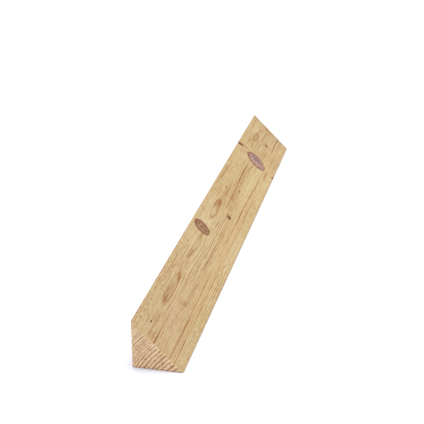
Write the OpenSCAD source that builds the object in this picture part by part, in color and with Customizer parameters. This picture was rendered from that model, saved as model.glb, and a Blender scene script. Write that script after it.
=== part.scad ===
// Triangular timber batten: one length of planed softwood with a right-angled triangular section,
// the kind made by ripping square stock along its diagonal. It lies on one leg of the section,
// with the other leg upright on the left and the broad planed slope facing up and to the right.

/* [Section] */
// Width of the leg that lies flat, from the heel to the sharp point of the toe (mm)
leg_width = 48; // [20:1:100]
// Height of the upright leg, from the heel to the sharp point of the top edge (mm)
leg_height = 48; // [20:1:100]

/* [Length] */
// Length between the two sawn ends (mm)
length = 600; // [100:10:3000]

/* [Edges] */
// Radius that eases the square heel edge (mm)
heel_radius = 1.6; // [0.4:0.1:4]
// Radius that eases the sharp toe edge (mm)
toe_radius = 0.6; // [0.2:0.1:2]
// Radius that eases the sharp top edge (mm)
top_radius = 0.6; // [0.2:0.1:2]

/* [Hidden] */
$fn = 64;

// Angles inside the section, in degrees
heel_angle = 90;
toe_angle = atan2(leg_height, leg_width);
top_angle = heel_angle - toe_angle;

// Corners of the sharp triangle, with the heel at the origin
heel = [0, 0];
toe = [leg_width, 0];
top = [0, leg_height];

// Each corner as [point, inside angle, easing radius], counter-clockwise from the heel
corners = [
    [heel, heel_angle, heel_radius],
    [toe, toe_angle, toe_radius],
    [top, top_angle, top_radius]
];

// How far along a side an easing arc starts from the corner that it rounds
function setback(angle, radius) = radius / tan(angle / 2);

// Unit vector from one point towards another
function heading(from, to) = (to - from) / norm(to - from);

// Centre of the arc that touches both sides of a corner, where a and b point along those sides
function arc_centre(corner, a, b) =
    let (bisector = (a + b) / norm(a + b))
    corner[0] + bisector * corner[2] / sin(corner[1] / 2);

// The easing takes the tip off the toe, so the batten is a little narrower than its leg
overall_width = leg_width - setback(toe_angle, toe_radius) + toe_radius;

// Section with straight sides that run into an arc at each corner
module eased_section() {
    count = len(corners);
    sides = [
        for (i = [0 : count - 1])
            let (
                here = corners[i][0],
                next = corners[(i + 1) % count][0],
                last = corners[(i + count - 1) % count][0]
            )
            [heading(here, last), heading(here, next)]
    ];
    tangent_points = [
        for (i = [0 : count - 1])
            for (side = sides[i])
                corners[i][0] + side * setback(corners[i][1], corners[i][2])
    ];
    union() {
        polygon(tangent_points);
        for (i = [0 : count - 1])
            translate(arc_centre(corners[i], sides[i][0], sides[i][1]))
                circle(r = corners[i][2]);
    }
}

// The batten runs along Y, centred over the middle of the face that it lies on
module triangular_batten() {
    color("burlywood")
        translate([-overall_width / 2, length / 2, 0])
            rotate([90, 0, 0])
                linear_extrude(height = length)
                    eased_section();
}

triangular_batten();
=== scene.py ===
# Lays a short length of triangular pine batten on a pale floor, under soft studio light.
import math

import bpy
import numpy as np
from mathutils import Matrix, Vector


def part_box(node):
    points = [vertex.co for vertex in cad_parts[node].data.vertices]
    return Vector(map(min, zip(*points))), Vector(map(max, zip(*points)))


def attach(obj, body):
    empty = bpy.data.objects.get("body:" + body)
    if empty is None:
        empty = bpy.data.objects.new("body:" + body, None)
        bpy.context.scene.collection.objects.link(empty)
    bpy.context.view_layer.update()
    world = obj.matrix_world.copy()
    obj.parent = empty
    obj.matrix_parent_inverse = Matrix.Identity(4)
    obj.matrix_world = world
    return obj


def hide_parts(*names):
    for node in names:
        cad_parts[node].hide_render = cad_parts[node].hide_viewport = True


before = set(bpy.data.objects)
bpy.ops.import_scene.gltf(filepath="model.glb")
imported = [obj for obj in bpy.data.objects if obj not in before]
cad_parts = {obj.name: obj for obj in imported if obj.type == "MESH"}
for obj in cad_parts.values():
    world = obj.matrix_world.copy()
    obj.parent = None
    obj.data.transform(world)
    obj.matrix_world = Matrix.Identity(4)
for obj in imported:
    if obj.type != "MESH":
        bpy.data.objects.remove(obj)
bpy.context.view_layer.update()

# The batten: one stick of knotty pine, ripped from square stock along its diagonal and planed on
# its three long faces. The arrises are eased with a few strokes of sandpaper, and the two ends are
# left as the saw cut them. Its sizes are in millimetres until the mesh is filled.
MM = 0.001
low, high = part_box("triangular_batten")
LENGTH = (high.y - low.y) / MM
TIP_ANGLE = math.radians(45)
TIP_RADIUS = 0.6
HEEL_RADIUS = 1.6
TIP_SETBACK = TIP_RADIUS / math.tan(TIP_ANGLE / 2)
LEG = (high.x - low.x) / MM + TIP_SETBACK - TIP_RADIUS
SLOPE_SIDE, BASE_SIDE, UPRIGHT_SIDE = range(3)
CAP_RINGS = 20
# How far the easing takes an end's arris in from the slope, in from each leg, and along the stick.
SLOPE_EASE, LEG_EASE, EASE_REACH = 1.1, 0.35, 1.3
# Relief of the planed faces: depth of the last stroke, of the wood round a hard knot, of the soft wood
# between ring lines, of the groove round a knot, of a pin's pit and of a nick in an arris.
PLANE_DEPTH = 0.02
KNOT_RISE = 0.06
SOFT_DEPTH = 0.04
GROOVE_DEPTH = 0.2
PIT_DEPTH = 0.3
NICK_DEPTH = 0.08
# Relief of the sawn ends: depth of the cut, of the torn soft wood, of the saw's arcs and of the grit
# between them, then the middle and the pitch of the arcs.
CUT_DEPTH = 0.05
TEAR_DEPTH = 0.10
ARC_DEPTH = 0.04
GRIT_DEPTH = 0.05
SAW_MIDDLE = (30.0, -140.0)
SAW_PITCH = 2.6
# A gap that counts as out of reach.
OUT_OF_REACH = 9.0

# Figure of the planed slope, measured across from the top edge and along from the near end.
# Round knots: across, along, half width, half length, and 1 where the limb was mauve, not brown.
KNOTS = [(15.2, 231.3, 11.6, 11.0, 0.0), (34.9, 481.0, 16.3, 14.9, 1.0)]
# Depth at which a limb would taper to nothing, and the share by which a knot pushes the lines apart.
LIMB_DEPTH = 45.0
KNOT_PUSH = 0.12
# Pin knots and bark that show as dark specks: across, along, half width, half length, lean, darkness.
PINS = [
    (17.6, 22.8, 0.7, 1.5, 0, 1.4),
    (39.5, 86.4, 0.8, 2.6, 0, 0.5),
    (38.5, 298.2, 1.9, 3.4, 0, 1.0),
    (36.6, 299.1, 1.9, 3.4, 0, 0.95),
    (17.3, 352.5, 0.9, 3.0, 0, 0.6),
    (33.9, 371.6, 1.0, 3.2, 0, 0.65),
    (65.6, 481.1, 1.6, 3.2, 0, 0.85),
    (4.5, 483.6, 3.0, 6.0, -58, 0.92),
    (37.7, 546.3, 3.4, 3.1, 0, 0.68),
    (33.2, 581.6, 1.0, 3.0, 0, 0.4),
]
PIN_DEPTH = 5.0
# Ring lines where nothing disturbs them, on both sides of the line that the plane grazes: place across
# the slope, and darkness.
LINES = [(-1.2, 0.4), (1.4, 0.35), (4.0, 0.45), (6.6, 0.6), (9.6, 0.4), (12.3, 0.35)]
LINES += [(24.7, 0.4), (28.6, 0.75), (31.5, 0.5), (33.9, 0.7), (36.5, 0.4), (38.9, 0.6), (41.5, 0.35)]
LINES += [(43.9, 0.4), (46.2, 0.2), (48.6, 0.6), (50.7, 0.2), (52.8, 0.4), (55.1, 0.75), (57.6, 0.45)]
LINES += [(60.1, 0.6), (62.5, 0.6), (65.0, 0.55), (67.5, 0.5), (70.0, 0.5)]
# Between the two middle lines the plane stays this far, in rings, above the ring that it grazes. Slow
# dips in the rings show there as closed eyes: along, half length, depth in rings, sideways shift.
HEART = 18.5
GRAZE = 0.8
EYE_REACH = 9.0
EYES = [
    (92.5, 28.0, 0.60, -0.2),
    (189.7, 31.0, 0.38, 0.8),
    (289.8, 24.7, 0.60, -0.6),
    (542.0, 12.5, 0.48, 0.6),
]
# Soft spots and bends, each as across, along, half width, half length, strength.
# Bends are places where the ring lines bow sideways, by so many millimetres.
BENDS = [
    (36.0, 32.0, 14.0, 55.0, 1.1),
    (47.0, 145.0, 4.0, 18.0, -0.4),
    (34.0, 155.0, 13.0, 12.0, -0.5),
    (57.6, 196.0, 2.8, 13.0, -2.6),
    (30.0, 197.0, 7.0, 14.0, 0.9),
    (47.5, 198.0, 4.0, 14.0, 0.4),
    (31.0, 233.0, 8.0, 14.0, -1.0),
    (47.0, 238.0, 4.0, 18.0, -0.5),
    (31.0, 273.0, 6.0, 12.0, 0.7),
    (56.0, 296.0, 4.0, 18.0, 1.1),
    (6.0, 360.0, 5.0, 25.0, -1.2),
    (6.5, 415.0, 5.0, 25.0, 1.0),
    (26.5, 425.0, 3.5, 42.0, -1.9),
    (51.0, 430.0, 7.0, 38.0, 1.5),
    (29.0, 513.0, 6.0, 8.0, -0.9),
    (30.0, 531.0, 6.0, 8.0, 0.6),
    (27.0, 600.0, 5.0, 16.0, -1.8),
]
# Brown spots are places where the plane lies almost flat in the dark wood of one ring.
BROWN_SPOTS = [
    (24.6, 6.5, 4.0, 8.0, 0.20),
    (22.0, 24.0, 13.0, 28.0, 0.08),
    (21.1, 28.0, 2.4, 18.0, 0.18),
    (18.6, 68.5, 3.0, 8.0, 0.22),
    (18.6, 83.0, 4.2, 18.0, 0.14),
    (16.0, 85.0, 22.0, 60.0, 0.04),
    (37.3, 87.4, 4.0, 8.0, 0.12),
    (52.0, 95.0, 7.0, 50.0, 0.04),
    (7.7, 115.0, 5.5, 46.0, 0.11),
    (20.5, 115.0, 1.2, 5.5, 0.36),
    (18.8, 120.0, 4.8, 36.0, 0.12),
    (17.6, 120.0, 2.4, 3.0, 0.10),
    (40.5, 124.0, 5.0, 26.0, 0.09),
    (17.8, 135.0, 5.0, 17.0, 0.14),
    (40.8, 170.0, 2.6, 55.0, 0.12),
    (40.0, 265.0, 2.4, 30.0, 0.08),
    (18.6, 298.0, 3.6, 10.0, 0.20),
    (17.4, 302.0, 1.6, 10.0, 0.18),
    (19.5, 310.0, 2.8, 8.0, 0.20),
    (35.0, 325.0, 3.0, 26.0, 0.12),
    (18.5, 330.0, 5.0, 16.0, 0.16),
    (19.1, 340.0, 4.5, 70.0, 0.07),
    (33.0, 370.0, 3.2, 35.0, 0.10),
    (19.5, 378.0, 4.0, 14.0, 0.08),
    (27.1, 417.0, 2.8, 45.0, 0.14),
    (54.6, 466.5, 1.6, 14.0, 0.24),
    (11.8, 473.5, 6.0, 3.5, 0.18),
    (13.0, 488.5, 5.0, 3.0, 0.20),
    (41.0, 512.0, 6.0, 14.0, 0.12),
    (53.0, 520.0, 4.0, 16.0, 0.06),
    (8.0, 523.0, 6.0, 22.0, 0.06),
    (19.1, 530.0, 5.5, 32.0, 0.15),
    (15.4, 543.0, 1.3, 7.0, 0.08),
    (19.5, 552.0, 2.6, 4.5, 0.18),
    (20.9, 572.0, 1.6, 9.0, 0.24),
    (20.0, 577.0, 6.0, 20.0, 0.10),
    (30.0, 593.0, 60.0, 25.0, 0.06),
    (26.1, 595.0, 7.0, 7.0, 0.20),
]
# Pale spots are places where the wood is clean and straw coloured.
PALE_SPOTS = [
    (8.0, 25.0, 6.0, 25.0, 0.07),
    (62.0, 28.0, 6.0, 30.0, 0.09),
    (29.0, 178.0, 6.0, 22.0, 0.06),
    (15.5, 195.0, 5.0, 16.0, 0.13),
    (61.0, 225.0, 5.0, 70.0, 0.15),
    (30.5, 228.0, 6.0, 28.0, 0.16),
    (15.0, 250.0, 9.0, 9.0, 0.14),
    (30.0, 250.0, 0.8, 14.0, 0.14),
    (32.4, 250.0, 0.8, 14.0, 0.12),
    (7.5, 258.0, 6.0, 42.0, 0.07),
    (35.2, 264.0, 0.9, 18.0, 0.14),
    (51.5, 276.0, 5.0, 26.0, 0.07),
    (42.3, 277.0, 0.9, 13.0, 0.14),
    (17.6, 280.0, 3.2, 8.0, 0.12),
    (61.0, 325.0, 5.0, 20.0, 0.07),
    (42.0, 425.0, 8.0, 40.0, 0.05),
    (8.0, 430.0, 5.0, 30.0, 0.06),
    (61.0, 450.0, 6.0, 45.0, 0.15),
    (22.0, 495.5, 4.0, 5.0, 0.10),
    (18.3, 538.0, 2.4, 4.0, 0.12),
    (62.0, 577.0, 6.0, 26.0, 0.13),
]
# Places where the ring lines stand out more, or less, than elsewhere.
LINE_SPOTS = [
    (24.7, 18.0, 1.6, 20.0, -0.30),
    (30.0, 35.0, 2.8, 30.0, -0.35),
    (38.9, 38.0, 1.4, 40.0, -0.30),
    (36.7, 58.0, 1.2, 20.0, 0.35),
    (33.9, 60.0, 1.2, 20.0, -0.30),
    (37.0, 65.0, 8.0, 45.0, -0.25),
    (18.5, 90.0, 7.0, 28.0, -0.28),
    (34.5, 97.0, 2.5, 22.0, -0.25),
    (28.9, 118.0, 1.2, 12.0, -0.25),
    (17.2, 121.0, 2.6, 5.0, -0.25),
    (4.0, 130.0, 6.0, 30.0, -0.15),
    (28.0, 150.0, 1.2, 14.0, 0.25),
    (33.8, 185.0, 1.2, 35.0, -0.20),
    (33.5, 190.0, 5.5, 60.0, 0.32),
    (42.2, 195.0, 2.4, 60.0, 0.22),
    (48.5, 200.0, 1.5, 35.0, -0.30),
    (61.0, 235.0, 5.0, 85.0, 0.32),
    (38.9, 236.0, 1.5, 12.0, -0.40),
    (52.8, 252.0, 1.2, 28.0, 0.30),
    (28.4, 258.0, 1.5, 18.0, 0.30),
    (33.0, 260.0, 6.0, 30.0, 0.30),
    (38.9, 265.0, 1.5, 28.0, -0.35),
    (14.2, 285.0, 1.6, 10.0, -0.25),
    (16.5, 335.0, 1.5, 14.0, -0.30),
    (48.5, 374.0, 1.5, 12.0, -0.40),
    (60.0, 390.0, 5.0, 100.0, -0.12),
    (42.4, 400.0, 7.0, 90.0, -0.35),
    (34.1, 405.0, 1.4, 35.0, 0.30),
    (8.0, 430.0, 7.0, 40.0, -0.25),
    (29.5, 452.0, 5.0, 16.0, -0.50),
    (52.8, 458.0, 1.2, 15.0, -0.40),
    (26.8, 461.0, 1.6, 6.0, -0.40),
    (6.6, 515.0, 1.5, 18.0, -0.45),
    (28.6, 525.0, 3.0, 30.0, -0.50),
    (18.8, 540.0, 6.0, 12.0, 0.25),
    (17.0, 549.0, 1.5, 6.0, -0.40),
]
# Ring lines that resin has darkened: strength, half width, and the places that each one passes.
STREAKS = [
    (0.28, 0.6, [(49.1, -9), (49.1, 28)]),
    (0.40, 0.6, [(54.9, -9), (54.8, 48)]),
    (0.36, 0.9, [(29.4, -9), (30.0, 20)]),
    (0.08, 0.9, [(65.2, -9), (65.1, 160)]),
    (0.85, 0.65, [(49.1, 28), (49.1, 76)]),
    (0.26, 0.9, [(48.7, 60), (48.3, 110), (47.7, 150)]),
    (0.10, 0.7, [(17.4, 67), (16.0, 76), (16.0, 86), (14.8, 95), (13.7, 103), (14.6, 112), (16.6, 120)]),
    (0.12, 0.7, [(20.3, 67), (21.2, 75), (21.9, 84), (22.4, 93), (23.0, 100), (22.4, 106)]),
    (0.30, 0.7, [(56.0, 84), (55.6, 112)]),
    (0.30, 0.8, [(39.6, 90), (39.5, 108)]),
    (0.20, 0.8, [(29.6, 98), (28.9, 128), (27.7, 160)]),
    (0.60, 0.7, [(22.2, 106), (21.2, 111), (20.2, 117), (18.6, 121)]),
    (0.30, 0.9, [(54.9, 118), (54.9, 160)]),
    (0.42, 0.9, [(6.5, 131), (6.9, 140), (7.1, 150)]),
    (0.45, 0.8, [(18.3, 158), (19.8, 176), (21.6, 190)]),
    (0.50, 0.8, [(38.6, 158), (39.0, 178), (39.4, 198), (38.9, 222)]),
    (0.30, 0.8, [(21.6, 190), (22.4, 199), (20.8, 208), (19.3, 219)]),
    (0.18, 0.8, [(39.0, 236), (40.5, 262), (40.6, 290)]),
    (0.40, 0.8, [(47.9, 236), (47.8, 262), (48.4, 288)]),
    (0.40, 0.8, [(6.4, 243), (6.1, 268)]),
    (0.25, 1.0, [(17.7, 244), (17.9, 256)]),
    (0.12, 0.8, [(54.4, 245), (54.8, 285)]),
    (0.12, 0.8, [(18.0, 261), (15.8, 265), (13.9, 272), (13.6, 282), (15.6, 297)]),
    (0.22, 0.8, [(18.8, 263), (20.6, 268), (22.2, 276), (22.8, 285), (22.2, 293)]),
    (0.95, 0.8, [(48.6, 296), (48.7, 345)]),
    (0.58, 0.8, [(29.3, 308), (29.2, 340), (29.7, 360), (28.6, 381)]),
    (0.45, 0.7, [(26.0, 312), (26.1, 340), (26.3, 368)]),
    (0.35, 0.8, [(54.5, 315), (54.4, 379)]),
    (0.50, 1.1, [(20.4, 325), (20.8, 345), (20.9, 368)]),
    (0.55, 0.8, [(48.7, 345), (48.5, 369), (49.8, 413), (50.4, 446)]),
    (0.50, 0.8, [(4.6, 350), (5.5, 383), (7.4, 417)]),
    (0.50, 1.2, [(29.2, 360), (28.7, 375), (27.7, 396), (26.8, 420), (27.3, 451)]),
    (0.60, 0.8, [(24.1, 373), (24.2, 389)]),
    (0.50, 0.8, [(31.6, 378), (31.2, 400), (31.2, 428)]),
    (0.25, 0.8, [(11.2, 385), (12.4, 415), (13.2, 440)]),
    (0.36, 0.9, [(21.2, 430), (21.3, 453)]),
    (1.10, 0.8, [(31.4, 434), (32.0, 447), (34.2, 465)]),
    (0.78, 1.0, [(27.1, 438), (27.3, 450)]),
    (0.35, 0.8, [(30.1, 500), (28.6, 514), (28.6, 521), (30.3, 541)]),
    (0.90, 0.9, [(21.0, 501), (20.8, 506), (19.0, 511), (18.8, 517)]),
    (0.55, 0.9, [(61.1, 504), (61.6, 509), (62.1, 517)]),
    (0.55, 0.8, [(11.4, 508), (12.0, 516)]),
    (0.60, 0.8, [(28.4, 546), (29.2, 560), (29.6, 575), (28.5, 585), (27.4, 593), (27.0, 604)]),
    (0.90, 0.9, [(48.5, 546), (48.2, 568), (48.3, 609)]),
    (0.35, 0.9, [(53.6, 560), (53.9, 592)]),
    (0.32, 0.9, [(6.3, 572), (7.2, 604)]),
]
STREAK_FADE = 4.0
# Soft tints of the wood, as shares of red, green and blue that are added over the same kind of spot:
# greyer towards the near end, pink in the clear wood, orange in a band, straw yellow by the toe.
TINTS = [
    (34.0, 420.0, 90.0, 170.0, (0.00, -0.025, -0.09)),
    (34.0, 20.0, 90.0, 80.0, (-0.06, -0.09, -0.08)),
    (34.0, 60.0, 9.0, 50.0, (0.03, 0.00, 0.05)),
    (51.5, 150.0, 6.0, 220.0, (0.02, -0.03, -0.08)),
    (51.8, 310.0, 4.0, 70.0, (0.02, -0.03, -0.05)),
    (51.5, 540.0, 8.0, 60.0, (0.02, -0.02, -0.04)),
    (62.0, 60.0, 6.0, 90.0, (-0.02, 0.00, -0.05)),
    (36.6, 88.0, 3.5, 5.0, (-0.02, -0.04, -0.02)),
    (40.0, 575.0, 7.0, 25.0, (0.01, 0.01, 0.05)),
]
# Share of a year's growth after which its ring line is darkest.
LATE_PHASE = 0.86
# The log that the rest of the stick shows: where its pith lay, the radius of the first year that the
# section reaches, and how wide the tree grew in each year after it.
PITH = (90.0, -44.0)
FIRST_RADIUS = 59.1
YEARS = [4.3, 4.3, 4.3, 3.9, 3.5, 3.1, 3.4, 2.9, 3.4, 3.5, 2.5, 2.2, 1.6, 1.5, 1.7, 2.0, 2.2, 2.8]
YEARS += [2.3, 2.0, 2.4, 1.9, 2.1, 2.5, 2.2, 2.0]


def eased_outline(on_slope=150, on_leg=34, on_tip=9, on_heel=7):
    """Outline of the section, clockwise from the toe: points, outward normals, sides, gaps to an arris.

    Each corner is an arc whose normal turns from one side's to the next, and each side is the straight
    run from one arc's end to the next arc's start. Points are measured from the sharp heel corner,
    across the floor and upwards. A gap is counted along the side, and is nothing on an arc.
    """
    reach = LEG - TIP_SETBACK
    corners = [
        ((reach, TIP_RADIUS), TIP_RADIUS, (45, -90), on_tip),
        ((HEEL_RADIUS, HEEL_RADIUS), HEEL_RADIUS, (-90, -180), on_heel),
        ((TIP_RADIUS, reach), TIP_RADIUS, (-180, -315), on_tip),
    ]
    sides = [SLOPE_SIDE, BASE_SIDE, UPRIGHT_SIDE, SLOPE_SIDE]
    turns = [np.radians(np.linspace(*turn, count)) for _, _, turn, count in corners]
    normals = [np.stack([np.cos(turn), np.sin(turn)], 1) for turn in turns]
    arcs = [centre + radius * normal for (centre, radius, _, _), normal in zip(corners, normals)]
    parts = []
    for i, run in enumerate([on_leg, on_leg, on_slope]):
        ends = arcs[i][-1], arcs[(i + 1) % 3][0]
        straight = np.linspace(*ends, run + 1)[1:-1]
        gaps = np.minimum(*[np.linalg.norm(straight - end, axis=1) for end in ends])
        first_half = np.arange(len(arcs[i])) < len(arcs[i]) / 2
        arc_sides = np.where(first_half, sides[i], sides[i + 1])
        parts.append((arcs[i], normals[i], arc_sides, np.zeros(len(arcs[i]))))
        straight_normals = np.tile(normals[i][-1], (run - 1, 1))
        parts.append((straight, straight_normals, np.full(run - 1, sides[i + 1]), gaps))
    return [np.concatenate(part) for part in zip(*parts)]


def bell(gap):
    """Bell curve that is 1 at no gap and falls off over a gap of about 1."""
    return np.exp(-gap**2)


def waves(places, lengths, seed, count=24):
    """Smooth seeded noise of about unit size: a sum of cosines that run in random directions."""
    rng = np.random.default_rng(seed)
    pace = rng.normal(size=(count, len(lengths))) * 2 * np.pi / np.array(lengths)
    start = rng.uniform(0, 2 * np.pi, count)
    return np.cos(places @ pace.T + start).sum(-1) * math.sqrt(2 / count)


def stations(count=330, at_knots=2.0, at_ends=8.0):
    """Places along the length, set closer by a bell about each knot and steeply towards each end."""
    fine = np.linspace(0, LENGTH, 6001)
    need = 1 + at_knots * sum(bell((fine - along) / (1.4 * half)) for _, along, _, half, _ in KNOTS)
    need += at_ends * (np.exp(-fine) + np.exp(fine - LENGTH))
    reached = np.concatenate([[0], np.cumsum((need[1:] + need[:-1]) / 2)])
    return np.interp(np.linspace(0, reached[-1], count), reached, fine)


def slope_place(points):
    """Place of points on the slope: across from its top edge, along the stick, and depth below it."""
    x, z, along = points.T
    return np.column_stack([(x - z + LEG) / math.sqrt(2), along, (LEG - x - z) / math.sqrt(2)])


def soft_spots(across, along, spots):
    """Sum of bell-shaped spots, each with its own half width, half length and strength."""
    total = 0.0
    for spot_across, spot_along, half_width, half_length, strength in spots:
        spot = bell(np.hypot((across - spot_across) / half_width, (along - spot_along) / half_length))
        total = total + np.multiply.outer(spot, strength)
    return total


def straightened(across, along):
    """Place across the slope that a point would have if no bend and no knot disturbed the rings.

    The lines bow aside at each bend, and each knot pushes them apart as a post parts a stream: the gap
    from its middle shrinks by a share that falls off with the square of the distance in knot radii.
    """
    across = across - soft_spots(across, along, BENDS)
    for knot_across, knot_along, half_width, half_length, _ in KNOTS:
        aside, ahead = across - knot_across, along - knot_along
        far = np.maximum((aside / half_width) ** 2 + (ahead / half_length) ** 2, 1.0)
        across = across - KNOT_PUSH * aside / far
    return across


def slope_rings(straight, along):
    """Growth rings counted outwards from the grazing line, with a whole number at each ring line.

    Between the two middle lines the count sags by a parabola of depth GRAZE. Each eye takes a
    flat-topped dip from the count, the exponential of minus the fourth power of the distance along it,
    and shifts the lines near it sideways.
    """
    line_places = np.array(LINES)[:, 0]
    left = np.count_nonzero(line_places < HEART)
    numbers = np.concatenate([np.arange(left, 0, -1), np.arange(1, len(LINES) - left + 1)])
    half_gap = (line_places[left] - line_places[left - 1]) / 2
    near = bell((straight - HEART) / EYE_REACH)
    dip, aside = 0.0, 0.0
    for eye_along, half_length, rings, shift in EYES:
        eye = near * np.exp(-(((along - eye_along) / half_length) ** 4))
        dip = dip + rings * eye
        aside = aside + shift * eye
    gap = straight - HEART - aside
    sag = GRAZE * np.maximum(1 - (gap / half_gap) ** 2, 0)
    return np.interp(HEART + gap, line_places, numbers) - sag - dip + LATE_PHASE


def log_rings(x, z):
    """Growth rings counted from the pith, with a ring line at the outer radius of each year."""
    radius = np.hypot(x - PITH[0], z - PITH[1])
    reached = FIRST_RADIUS + np.cumsum([0.0] + YEARS)
    return np.interp(radius, reached, np.arange(len(reached))) + LATE_PHASE


def resin_streaks(across, along):
    """How far resin darkens each point: a bell about the streak's path, faded in and out along it."""
    total = np.zeros_like(across)
    for strength, half_width, path in STREAKS:
        path_across, path_along = np.array(path, float).T
        aside = (across - np.interp(along, path_along, path_across)) / half_width
        fade_in = 1 / (1 + np.exp((path_along[0] - along) / STREAK_FADE))
        fade_out = 1 / (1 + np.exp((along - path_along[-1]) / STREAK_FADE))
        total = np.maximum(total, strength * fade_in * fade_out * bell(aside))
    return total


def knot_places(across, along, depth):
    """Place of each point within its nearest knot, in radii of a limb that tapers with depth."""
    taper = np.clip(1 - depth / LIMB_DEPTH, 0.05, 1)
    near = np.full((len(across), 3), OUT_OF_REACH)
    for knot_across, knot_along, half_width, half_length, mauve in KNOTS:
        aside = (across - knot_across) / (half_width * taper)
        ahead = (along - knot_along) / (half_length * taper)
        closer = np.hypot(aside, ahead) < np.hypot(near[:, 0], near[:, 1])
        near[closer] = np.column_stack([aside, ahead, np.full(len(aside), mauve)])[closer]
    return near


def pin_pits(across, along, depth):
    """Shallow pits left by the pin knots: a bell over each one's own width, length and lean."""
    pit = np.zeros_like(across)
    for pin_across, pin_along, half_width, half_length, lean, darkness in PINS:
        turn = math.radians(lean)
        aside, ahead = across - pin_across, along - pin_along
        wide = (aside * math.cos(turn) + ahead * math.sin(turn)) / half_width
        long = (ahead * math.cos(turn) - aside * math.sin(turn)) / half_length
        pit = np.maximum(pit, darkness * bell(np.sqrt(wide**2 + long**2 + (depth / PIN_DEPTH) ** 2)))
    return pit


def grid_cells(ids):
    """Corner numbers of the cells of a grid of points that closes on itself sideways."""
    beside = np.roll(ids, -1, 1)
    return np.stack([ids[:-1], beside[:-1], beside[1:], ids[1:]], -1).reshape(-1, 4)


def end_face(rim, along):
    """Points of a sawn end: its rim shrunk in steps towards the middle of the section."""
    middle = np.array([LEG, LEG]) / 3
    shrink = 1 - np.arange(1, CAP_RINGS) / CAP_RINGS
    inner = middle + shrink[:, None, None] * (rim - middle)
    flat = np.concatenate([inner.reshape(-1, 2), middle[None]])
    return np.column_stack([flat, np.full(len(flat), along)])


def line_gap(count):
    """Rings between each point and the nearest ring line."""
    return (count - LATE_PHASE + 0.5) % 1 - 0.5


outline, facing, side_of, arris_gap = eased_outline()
places_along = stations()
around, rows = len(outline), len(places_along)
skin = np.empty((rows, around, 3))
skin[..., :2] = outline
skin[..., 2] = places_along[:, None]

# Towards each end the outline shrinks to a smaller copy of itself, along a quarter of an ellipse. The
# sandpaper bit unevenly, and most of all towards the top edge.
rim = LEG_EASE + outline * (1 - (2 * LEG_EASE + SLOPE_EASE * math.sqrt(2)) / LEG)
end_gap = np.minimum(places_along, LENGTH - places_along)
share = 1 - np.sqrt(1 - np.clip(1 - end_gap / EASE_REACH, 0, 1) ** 2)
uneven = 1 + 0.2 * waves(outline, (9, 9), seed=12) + 0.65 * bell((LEG - outline[:, 1]) / 14)
eased_skin = skin.copy()
eased_skin[..., :2] += share[:, None, None] * uneven[:, None] * (rim - outline)
caps = [end_face(eased_skin[0, :, :2], 0.0), end_face(eased_skin[-1, :, :2], LENGTH)]
points = np.concatenate([skin.reshape(-1, 3), *caps])
shape = np.concatenate([eased_skin.reshape(-1, 3), *caps])
skin_size, cap_size = rows * around, len(caps[0])

skin_ids = np.arange(skin_size).reshape(rows, around)
cells, spokes = [grid_cells(skin_ids)], []
for number, edge in enumerate([skin_ids[0], skin_ids[-1]]):
    inner = skin_size + number * cap_size + np.arange(cap_size - 1).reshape(-1, around)
    middle = np.full(around, skin_size + (number + 1) * cap_size - 1)
    outward = -1 if number == 0 else 1
    cells.append(grid_cells(np.concatenate([edge[None], inner]))[:, ::outward])
    spokes.append(np.stack([inner[-1], np.roll(inner[-1], -1), middle], -1)[:, ::outward])
cells, spokes = np.concatenate(cells), np.concatenate(spokes)
skin_cells = (rows - 1) * around

# Figure of the wood at each point. On the grazed line the rings stand out at an eye and fade between
# eyes. The rubbed arrises are browner, the far one most of all.
place = slope_place(points)
across, along, depth = place.T
wander = 0.35 * waves(points, (220, 220, 260), seed=4)
straight = straightened(across, along)
slope_count = slope_rings(straight, along)
log_count = log_rings(points[:, 0], points[:, 1]) + wander
knot = knot_places(across, along, depth)
knot_gap = np.hypot(knot[:, 0], knot[:, 1])
on_slope = depth < 1
streak = resin_streaks(across, along) * on_slope
brown = soft_spots(across, along, BROWN_SPOTS) - soft_spots(across, along, PALE_SPOTS)
eyes_near = sum(bell((along - at) / (1.3 * half)) for at, half, _, _ in EYES)
calm = 0.3 * bell((across - HEART) / 6.5) * np.maximum(1 - eyes_near, 0)
bold = 0.2 * bell((across - HEART) / 5.0) * np.minimum(eyes_near, 1)
contrast = np.interp(straight, *np.array(LINES).T) + soft_spots(across, along, LINE_SPOTS) + bold - calm
arris = np.concatenate([np.tile(arris_gap, rows), np.full(2 * cap_size, OUT_OF_REACH)])
wear = np.maximum(0.1 * bell(arris / 1.2), 0.75 * bell((LENGTH - along) / 3.5))
figure = np.column_stack([np.where(on_slope, contrast, 0.7), brown * on_slope, wear])
tint = 1 + soft_spots(across, along, TINTS) * on_slope[:, None]

# Relief of the skin, pressed inwards: soft spring wood between the ring lines, a sunken ring round
# each knot, pits at the pins and nicks along the arrises
skin_side = np.tile(side_of, rows)
skin_count = np.where(skin_side == SLOPE_SIDE, slope_count[:skin_size], log_count[:skin_size])
clear = knot_gap[:skin_size] > 1
soft = 1 - bell(line_gap(skin_count) / 0.25)
press = PLANE_DEPTH + (KNOT_RISE + SOFT_DEPTH * soft) * clear
press += GROOVE_DEPTH * bell((knot_gap[:skin_size] - 1) / 0.05)
press += PIT_DEPTH * pin_pits(across, along, depth)[:skin_size]
nicks = np.maximum(waves(points[:skin_size], (40, 40, 34), seed=9) - 1.3, 0)
press += NICK_DEPTH * nicks * bell(arris[:skin_size] / 1.3)
shape[:skin_size, :2] -= press[:, None] * np.tile(facing, (rows, 1))

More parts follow.
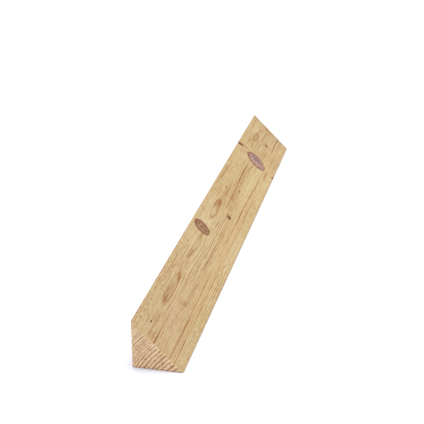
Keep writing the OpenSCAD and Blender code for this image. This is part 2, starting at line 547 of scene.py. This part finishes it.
# Relief of the ends: the saw tears the spring wood deeper than the ring lines, and leaves its own arcs
cap_points = points[skin_size:]
tear = 1 - bell(line_gap(log_count[skin_size:]) / 0.3)
swing = np.linalg.norm(cap_points[:, :2] - SAW_MIDDLE, axis=1)
saw_arc = np.cos(swing * 2 * np.pi / SAW_PITCH)
grit = waves(cap_points[:, :2], (3, 3), seed=21)
cut = CUT_DEPTH + TEAR_DEPTH * tear + ARC_DEPTH * saw_arc + GRIT_DEPTH * grit
inwards = np.where(cap_points[:, 2] < LENGTH / 2, 1, -1)
shape[skin_size:, 2] += inwards * np.maximum(cut, 0)

mesh = bpy.data.meshes.new("triangular_batten_wood")
mesh.vertices.add(len(shape))
mesh.loops.add(cells.size + spokes.size)
mesh.polygons.add(len(cells) + len(spokes))
mesh.vertices.foreach_set("co", (np.array(low) + shape[:, [0, 2, 1]] * MM).ravel())
mesh.loops.foreach_set("vertex_index", np.concatenate([cells.ravel(), spokes.ravel()]))
starts = np.concatenate([np.arange(len(cells)) * 4, cells.size + np.arange(len(spokes)) * 3])
mesh.polygons.foreach_set("loop_start", starts)
mesh.update(calc_edges=True)
mesh.polygons.foreach_set("use_smooth", np.ones(len(mesh.polygons), bool))
mesh.set_sharp_from_angle(angle=math.radians(38))

# What the finish reads from the mesh. The ring count belongs to each face's corners, so that the
# slope's own figure can meet the figure of the leg faces and the ends in a clean line.
reads_slope = np.zeros(len(cells), bool)
reads_slope[:skin_cells] = np.tile(side_of == SLOPE_SIDE, rows - 1)
cell_counts = np.where(reads_slope[:, None], slope_count[cells], log_count[cells])
corner_counts = np.concatenate([cell_counts.ravel(), log_count[spokes].ravel()])
for name, kind, domain, values in [
    ("place", "FLOAT_VECTOR", "POINT", place),
    ("knot", "FLOAT_VECTOR", "POINT", knot * (1, 1, 0)),
    ("mauve", "FLOAT", "POINT", knot[:, 2]),
    ("ring", "FLOAT", "CORNER", corner_counts),
    ("streak", "FLOAT", "POINT", streak),
    ("figure", "FLOAT_VECTOR", "POINT", figure),
    ("tint", "FLOAT_VECTOR", "POINT", tint),
]:
    layer = mesh.attributes.new(name, kind, domain)
    field = "vector" if kind == "FLOAT_VECTOR" else "value"
    layer.data.foreach_set(field, np.ascontiguousarray(values, np.float32).ravel())


class Finish:
    """A material whose nodes are added by short calls, each of which returns an output."""

    def __init__(self, name):
        self.material = bpy.data.materials.new(name)
        self.material.use_nodes = True
        self.tree = self.material.node_tree
        self.shader = self.tree.nodes["Principled BSDF"]
        self.place = self.read("place", "Vector")

    def node(self, kind, inputs, output=0, **settings):
        """Adds a node, with its settings, and feeds its inputs with values or other outputs."""
        made = self.tree.nodes.new(kind)
        for name, value in settings.items():
            setattr(made, name, value)
        for socket, value in inputs.items():
            if isinstance(value, bpy.types.NodeSocket):
                self.tree.links.new(value, made.inputs[socket])
            else:
                made.inputs[socket].default_value = value
        return made.outputs[output]

    def read(self, name, output="Fac"):
        """Reads a layer of the mesh."""
        return self.node("ShaderNodeAttribute", {}, output, attribute_name=name)

    def calc(self, operation, *values):
        """Sums, products and the like of values or other outputs."""
        return self.node("ShaderNodeMath", dict(enumerate(values)), operation=operation)

    def noise(self, across, along, shift=0.0, detail=2.0):
        """Noise from 0 to 1 with blotches of so many millimetres across and along the grain."""
        pace = (1 / across, 1 / along, 1 / across)
        inputs = {"Vector": self.place, "Location": (shift, shift, shift), "Scale": pace}
        scaled = self.node("ShaderNodeMapping", inputs)
        return self.node("ShaderNodeTexNoise", {"Vector": scaled, "Scale": 1.0, "Detail": detail})

    def span(self, value, start, end, first=0.0, last=1.0):
        """Maps start to end onto first to last, in an S curve, and holds both ends."""
        values = {0: value, 1: start, 2: end, 3: first, 4: last}
        return self.node("ShaderNodeMapRange", values, interpolation_type="SMOOTHSTEP")

    def ramp(self, value, stops):
        """Colour or grey by value, straight between stops."""
        made = self.node("ShaderNodeValToRGB", {0: value}).node
        elements = made.color_ramp.elements
        elements[0].position, elements[-1].position = stops[0][0], stops[-1][0]
        for at, _ in stops[1:-1]:
            elements.new(at)
        for element, (_, shade) in zip(elements, stops):
            element.color = shade if isinstance(shade, tuple) else (shade, shade, shade, 1)
        return made.outputs[0]

    def blend(self, share, first, second, mode="MIX"):
        """Blends two colours, with a share from 0 for the first to 1 for the second."""
        settings = {"data_type": "RGBA", "blend_type": mode, "clamp_factor": True}
        return self.node("ShaderNodeMix", {0: share, 6: first, 7: second}, 2, **settings)


# Light that the slope gets from the lamps and the room, in red, green and blue
LIGHT = np.array([1.19, 1.205, 1.335])


def paint(red, green, blue):
    """A colour as the eye reads it under the studio light, from 0 to 255, taken back to bare wood."""
    share = np.array([red, green, blue]) / 255
    linear = np.where(share <= 0.04045, share / 12.92, ((share + 0.055) / 1.055) ** 2.4)
    return (*(linear / LIGHT).tolist(), 1.0)


def planed_pine():
    """Planed long grain: straw spring wood, tan ring lines, resin, fibre, knots and rubbed arrises."""
    wood = Finish("planed_pine")
    # Ring lines, which sway slowly and waver along their length
    sway = wood.calc("SUBTRACT", wood.noise(14, 80), 0.5)
    jitter = wood.calc("SUBTRACT", wood.noise(2.0, 40, 7.0), 0.5)
    count = wood.calc("MULTIPLY_ADD", sway, 0.2, wood.read("ring"))
    count = wood.calc("MULTIPLY_ADD", jitter, 0.2, count)
    profile = [(0.0, 0.2), (0.05, 0.05), (0.4, 0.05), (0.68, 0.6), (LATE_PHASE, 1.0)]
    profile += [(0.95, 0.8), (1.0, 0.2)]
    line = wood.ramp(wood.calc("FRACT", count), profile)
    parts = wood.node("ShaderNodeSeparateXYZ", {0: wood.read("figure", "Vector")}).node.outputs
    contrast, brown, wear = parts[0], parts[1], parts[2]
    strength = wood.calc("MULTIPLY", contrast, wood.span(wood.noise(5, 110, 3.0), 0.3, 0.7, 0.6, 1.4))
    late = wood.calc("MULTIPLY", strength, line)
    thread = wood.noise(1.1, 45, 27.0)
    uneven = wood.span(thread, 0.3, 0.7, 1.35, 0.65)
    resin = wood.calc("MULTIPLY", wood.read("streak"), wood.calc("MULTIPLY_ADD", line, 0.4, 0.6))
    resin = wood.calc("MULTIPLY", resin, uneven)

    # Tone of the wood, from 0 for pale straw to 1 for dark resin
    tone = wood.calc("MULTIPLY_ADD", late, 0.55, 0.19)
    tone = wood.calc("MULTIPLY_ADD", resin, 0.75, tone)
    tone = wood.calc("MULTIPLY_ADD", brown, uneven, tone)
    tone = wood.calc("ADD", tone, wood.span(thread, 0.25, 0.75, 0.11, -0.11))
    fibre = wood.noise(0.7, 13, 2.0, 3.0)
    tone = wood.calc("ADD", tone, wood.span(fibre, 0.25, 0.75, 0.15, -0.15))
    # Short dashes of fibre, strongest in the margins and towards the near end
    across, along = wood.node("ShaderNodeSeparateXYZ", {0: wood.place}).node.outputs[:2]
    margin = wood.calc("MAXIMUM", wood.span(across, 15, 6, 0.25, 1.0), wood.span(across, 54, 60))
    margin = wood.calc("MULTIPLY", margin, wood.span(along, 260, 120, 0.5, 1.0))
    dash = wood.span(wood.noise(0.7, 6, 31.0, 1.0), 0.3, 0.7, 0.19, -0.19)
    tone = wood.calc("MULTIPLY_ADD", margin, dash, tone)
    # Dark flecks of pores, then soft blotches of two sizes
    fleck = wood.span(wood.noise(0.7, 7, 5.0), 0.62, 0.74)
    tone = wood.calc("MULTIPLY_ADD", fleck, 0.14, tone)
    tone = wood.calc("ADD", tone, wood.span(wood.noise(4, 16, 9.0, 4.0), 0.25, 0.75, 0.05, -0.05))
    tone = wood.calc("ADD", tone, wood.span(wood.noise(26, 90, 11.0), 0.3, 0.7, 0.04, -0.04))

    pine = [(0.0, paint(228, 208, 164)), (0.3, paint(212, 184, 140)), (0.54, paint(194, 154, 106)),
            (0.77, paint(175, 122, 76)), (1.0, paint(146, 91, 55))]
    colour = wood.ramp(tone, pine)
    colour = wood.blend(1.0, colour, wood.read("tint", "Vector"), "MULTIPLY")

    # Limbs that the plane cut across, darker at the rim, with stains of their own
    knot = wood.read("knot", "Vector")
    mauve = wood.read("mauve")
    fray = wood.calc("SUBTRACT", wood.noise(2.5, 2.5, 13.0), 0.5)
    gap = wood.node("ShaderNodeVectorMath", {0: knot}, "Value", operation="LENGTH")
    gap = wood.calc("MULTIPLY_ADD", fray, 0.1, gap)
    inside = wood.span(gap, 1.03, 0.93)
    streaks = wood.span(wood.noise(2.8, 5.0, 17.0, 1.0), 0.3, 0.7, 0.3, -0.25)
    knot_across = wood.node("ShaderNodeSeparateXYZ", {0: knot}).node.outputs[0]
    rim = wood.span(gap, 0.58, 0.94, 0.38, wood.span(knot_across, -0.2, 1.0, 1.0, 0.72))
    limb_tone = wood.calc("ADD", rim, streaks)
    brown_limb = [(0.0, paint(190, 157, 124)), (0.5, paint(168, 128, 95)), (1.0, paint(142, 94, 67))]
    mauve_limb = [(0.0, paint(204, 171, 153)), (0.5, paint(186, 148, 132)), (1.0, paint(152, 102, 86))]
    limb = wood.blend(mauve, wood.ramp(limb_tone, brown_limb), wood.ramp(limb_tone, mauve_limb))

    def oval(across, along, half_width, half_length, start, end):
        """How far a point of a knot lies inside an oval, placed and sized in the knot's own radii."""
        sizes = {"Vector": knot, "Location": (across, along, 0), "Scale": (half_width, half_length, 1)}
        local = wood.node("ShaderNodeMapping", sizes, vector_type="TEXTURE")
        reach = wood.node("ShaderNodeVectorMath", {0: local}, "Value", operation="LENGTH")
        return wood.span(wood.calc("MULTIPLY_ADD", fray, 0.7, reach), start, end)

    heart_stain = oval(-0.04, 0.27, 0.66, 0.32, 1.15, 0.6)
    heart_stain = wood.calc("MAXIMUM", heart_stain, oval(-0.09, 0.05, 0.07, 0.35, 1.3, 0.5))
    heart_stain = wood.calc("MULTIPLY", heart_stain, mauve)
    limb = wood.blend(wood.calc("MULTIPLY", heart_stain, 0.75), limb, paint(140, 112, 118))
    maroon = oval(-0.50, 0.14, 0.16, 0.26, 1.3, 0.5)
    maroon = wood.calc("MAXIMUM", maroon, oval(-0.02, -0.03, 0.16, 0.30, 1.3, 0.5))
    maroon = wood.calc("MAXIMUM", maroon, oval(0.41, 0.06, 0.16, 0.26, 1.3, 0.5))
    maroon = wood.calc("MULTIPLY", maroon, wood.calc("SUBTRACT", 0.75, mauve))
    limb = wood.blend(maroon, limb, paint(136, 92, 70))
    colour = wood.blend(inside, colour, limb)

    # Pin knots and bark, each a dark core in a brown halo
    core, halo = 0.0, 0.0
    for pin_across, pin_along, half_width, half_length, lean, darkness in PINS:
        spot = wood.node(
            "ShaderNodeMapping",
            {
                "Vector": wood.place,
                "Location": (pin_across, pin_along, 0),
                "Rotation": (0, 0, math.radians(lean)),
                "Scale": (half_width, half_length, PIN_DEPTH),
            },
            vector_type="TEXTURE",
        )
        reach = wood.node("ShaderNodeVectorMath", {0: spot}, "Value", operation="LENGTH")
        reach = wood.calc("MULTIPLY_ADD", fray, 0.6, reach)
        core = wood.calc("MAXIMUM", core, wood.span(reach, 1.15, 0.5, 0.0, darkness))
        halo = wood.calc("MAXIMUM", halo, wood.span(reach, 2.2, 0.9, 0.0, 0.5 * darkness))
    colour = wood.blend(halo, colour, paint(178, 132, 92))
    colour = wood.blend(core, colour, paint(112, 56, 38))
    colour = wood.blend(wood.calc("SUBTRACT", core, 1.0), colour, paint(20, 14, 12))

    # Rubbed arrises
    rub = wood.calc("MULTIPLY", wear, wood.span(wood.noise(3, 30, 23.0), 0.3, 0.7, 0.5, 1.0))
    colour = wood.blend(rub, colour, paint(184, 138, 88))

    wood.tree.links.new(colour, wood.shader.inputs["Base Color"])
    rough = wood.calc("MULTIPLY_ADD", late, -0.1, wood.span(fibre, 0.2, 0.8, 0.55, 0.7))
    wood.tree.links.new(rough, wood.shader.inputs["Roughness"])
    wood.shader.inputs["Specular IOR Level"].default_value = 0.15
    height = wood.calc("MULTIPLY_ADD", fleck, -0.6, fibre)
    height = wood.calc("MULTIPLY_ADD", late, 0.5, height)
    grain = wood.node("ShaderNodeBump", {"Strength": 0.25, "Distance": 0.0002, "Height": height})
    wood.tree.links.new(grain, wood.shader.inputs["Normal"])
    return wood.material


def sawn_end():
    """Sawn end grain: cream and brown rings, beaded by the pores that the saw has torn, with painted
    contact shade on the ring lines along the floor edge.
    """
    wood = Finish("sawn_end")
    # Ring lines, each year with a strength of its own
    sway = wood.calc("SUBTRACT", wood.noise(6, 400), 0.5)
    count = wood.calc("MULTIPLY_ADD", sway, 0.3, wood.read("ring"))
    profile = [(0.0, 0.9), (0.1, 0.35), (0.25, 0.08), (0.42, 0.35), (0.6, 0.85), (0.8, 1.0), (1.0, 0.9)]
    line = wood.ramp(wood.calc("FRACT", count), profile)
    year = wood.calc("FLOOR", count)
    chance = wood.node("ShaderNodeTexWhiteNoise", {"W": year}, noise_dimensions="1D")
    parts = wood.node("ShaderNodeSeparateXYZ", {0: wood.place}).node.outputs
    across, depth = parts[0], parts[2]
    evenness = wood.span(across, 16, 46, 0.4, 0.7)
    beads = wood.span(wood.noise(1.5, 400, 3.0, 2.0), 0.32, 0.68, evenness, 1.2)
    strength = wood.calc("MULTIPLY_ADD", chance, 0.35, 0.65)
    late = wood.calc("MULTIPLY", wood.calc("MULTIPLY", strength, beads), line)
    tone = wood.calc("MULTIPLY_ADD", late, 0.62, 0.14)
    pores = wood.noise(0.9, 400, 8.0, 2.0)
    tone = wood.calc("ADD", tone, wood.span(pores, 0.25, 0.75, 0.26, -0.26))
    tone = wood.calc("ADD", tone, wood.span(wood.noise(7, 400, 5.0), 0.3, 0.7, 0.08, -0.08))
    # Painted shade: the ring lines darken along the floor edge, where contact shade falls, and pale
    # tufts stand along the slope
    floor_edge = LEG * math.sqrt(2)
    painted_floor_shade = wood.span(wood.calc("ADD", across, depth), floor_edge - 2.6, floor_edge - 0.6)
    tone = wood.calc("MULTIPLY_ADD", wood.calc("MULTIPLY", painted_floor_shade, line), 0.4, tone)
    tufts = wood.span(wood.noise(1.5, 400, 15.0), 0.42, 0.62)
    fuzz = wood.calc("MULTIPLY", wood.span(depth, 3.2, 1.4), tufts)
    tone = wood.calc("MULTIPLY_ADD", fuzz, -0.35, tone)
    cut = [(0.0, paint(250, 232, 198)), (0.3, paint(230, 199, 162)), (0.65, paint(188, 140, 103)),
           (1.0, paint(150, 98, 64))]
    wood.tree.links.new(wood.ramp(tone, cut), wood.shader.inputs["Base Color"])
    wood.tree.links.new(wood.span(pores, 0.2, 0.8, 0.75, 0.95), wood.shader.inputs["Roughness"])
    wood.shader.inputs["Specular IOR Level"].default_value = 0.2
    height = wood.calc("MULTIPLY_ADD", late, 0.5, pores)
    torn = wood.node("ShaderNodeBump", {"Strength": 0.5, "Distance": 0.0004, "Height": height})
    wood.tree.links.new(torn, wood.shader.inputs["Normal"])
    return wood.material


mesh.materials.append(planed_pine())
mesh.materials.append(sawn_end())
is_end = np.ones(len(cells) + len(spokes), np.int32)
is_end[:skin_cells] = 0
mesh.polygons.foreach_set("material_index", is_end)
batten = bpy.data.objects.new("triangular_batten_wood", mesh)
bpy.context.scene.collection.objects.link(batten)
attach(batten, "root")
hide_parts("triangular_batten")

# The floor: a wide sheet of plain white studio board that the batten lies on.
bpy.ops.mesh.primitive_plane_add(size=12)
floor = bpy.context.object
floor.name = "studio_floor"
board = bpy.data.materials.new("white_board")
board.use_nodes = True
paper = board.node_tree.nodes["Principled BSDF"].inputs
paper["Base Color"].default_value = (0.77, 0.79, 0.85, 1)
paper["Roughness"].default_value = 0.9
paper["Specular IOR Level"].default_value = 0.1
floor.data.materials.append(board)

# The light: a pale cool room all round, a warm bank of lamps overhead, tipped a little to the
# back, and a weak lamp near the camera that fills the sawn end.
room = bpy.data.worlds.new("studio_room")
bpy.context.scene.world = room
room.use_nodes = True
walls = room.node_tree.nodes["Background"].inputs
walls["Color"].default_value = (0.8, 0.86, 1.0, 1)
walls["Strength"].default_value = 0.7
for name, strength, spread, tint, turn in [
    ("overhead_lamps", 2.2, 30, (1.0, 0.97, 0.93), (-6, -1, 0)),
    ("front_fill", 0.95, 30, (1.0, 0.98, 0.96), (62, 0, -12)),
]:
    lamp = bpy.data.objects.new(name, bpy.data.lights.new(name, "SUN"))
    lamp.data.energy = strength
    lamp.data.angle = math.radians(spread)
    lamp.data.color = tint
    lamp.rotation_euler = [math.radians(angle) for angle in turn]
    bpy.context.scene.collection.objects.link(lamp)

# The camera stands in front of the near end, to the right of the heel, and looks down along the stick.
# Its places are in millimetres, its angles in degrees, and its focal length in pixels of the picture.
CAMERA_RIGHT = 241.74
CAMERA_FRONT = 765.27
CAMERA_HEIGHT = 489.84
TILT_DOWN = 23.051
TURN_LEFT = 12.462
FOCAL_PIXELS = 1044.9
PICTURE_PIXELS = 424
SENSOR_WIDTH = 36
camera = bpy.data.objects.new("camera", bpy.data.cameras.new("camera"))
bpy.context.scene.collection.objects.link(camera)
camera.location = (low.x + CAMERA_RIGHT * MM, low.y - CAMERA_FRONT * MM, CAMERA_HEIGHT * MM)
camera.rotation_euler = (math.radians(90 - TILT_DOWN), 0, math.radians(TURN_LEFT))
camera.data.sensor_width = SENSOR_WIDTH
camera.data.lens = SENSOR_WIDTH * FOCAL_PIXELS / PICTURE_PIXELS
bpy.context.scene.camera = camera
bpy.context.scene.view_settings.view_transform = "Standard"
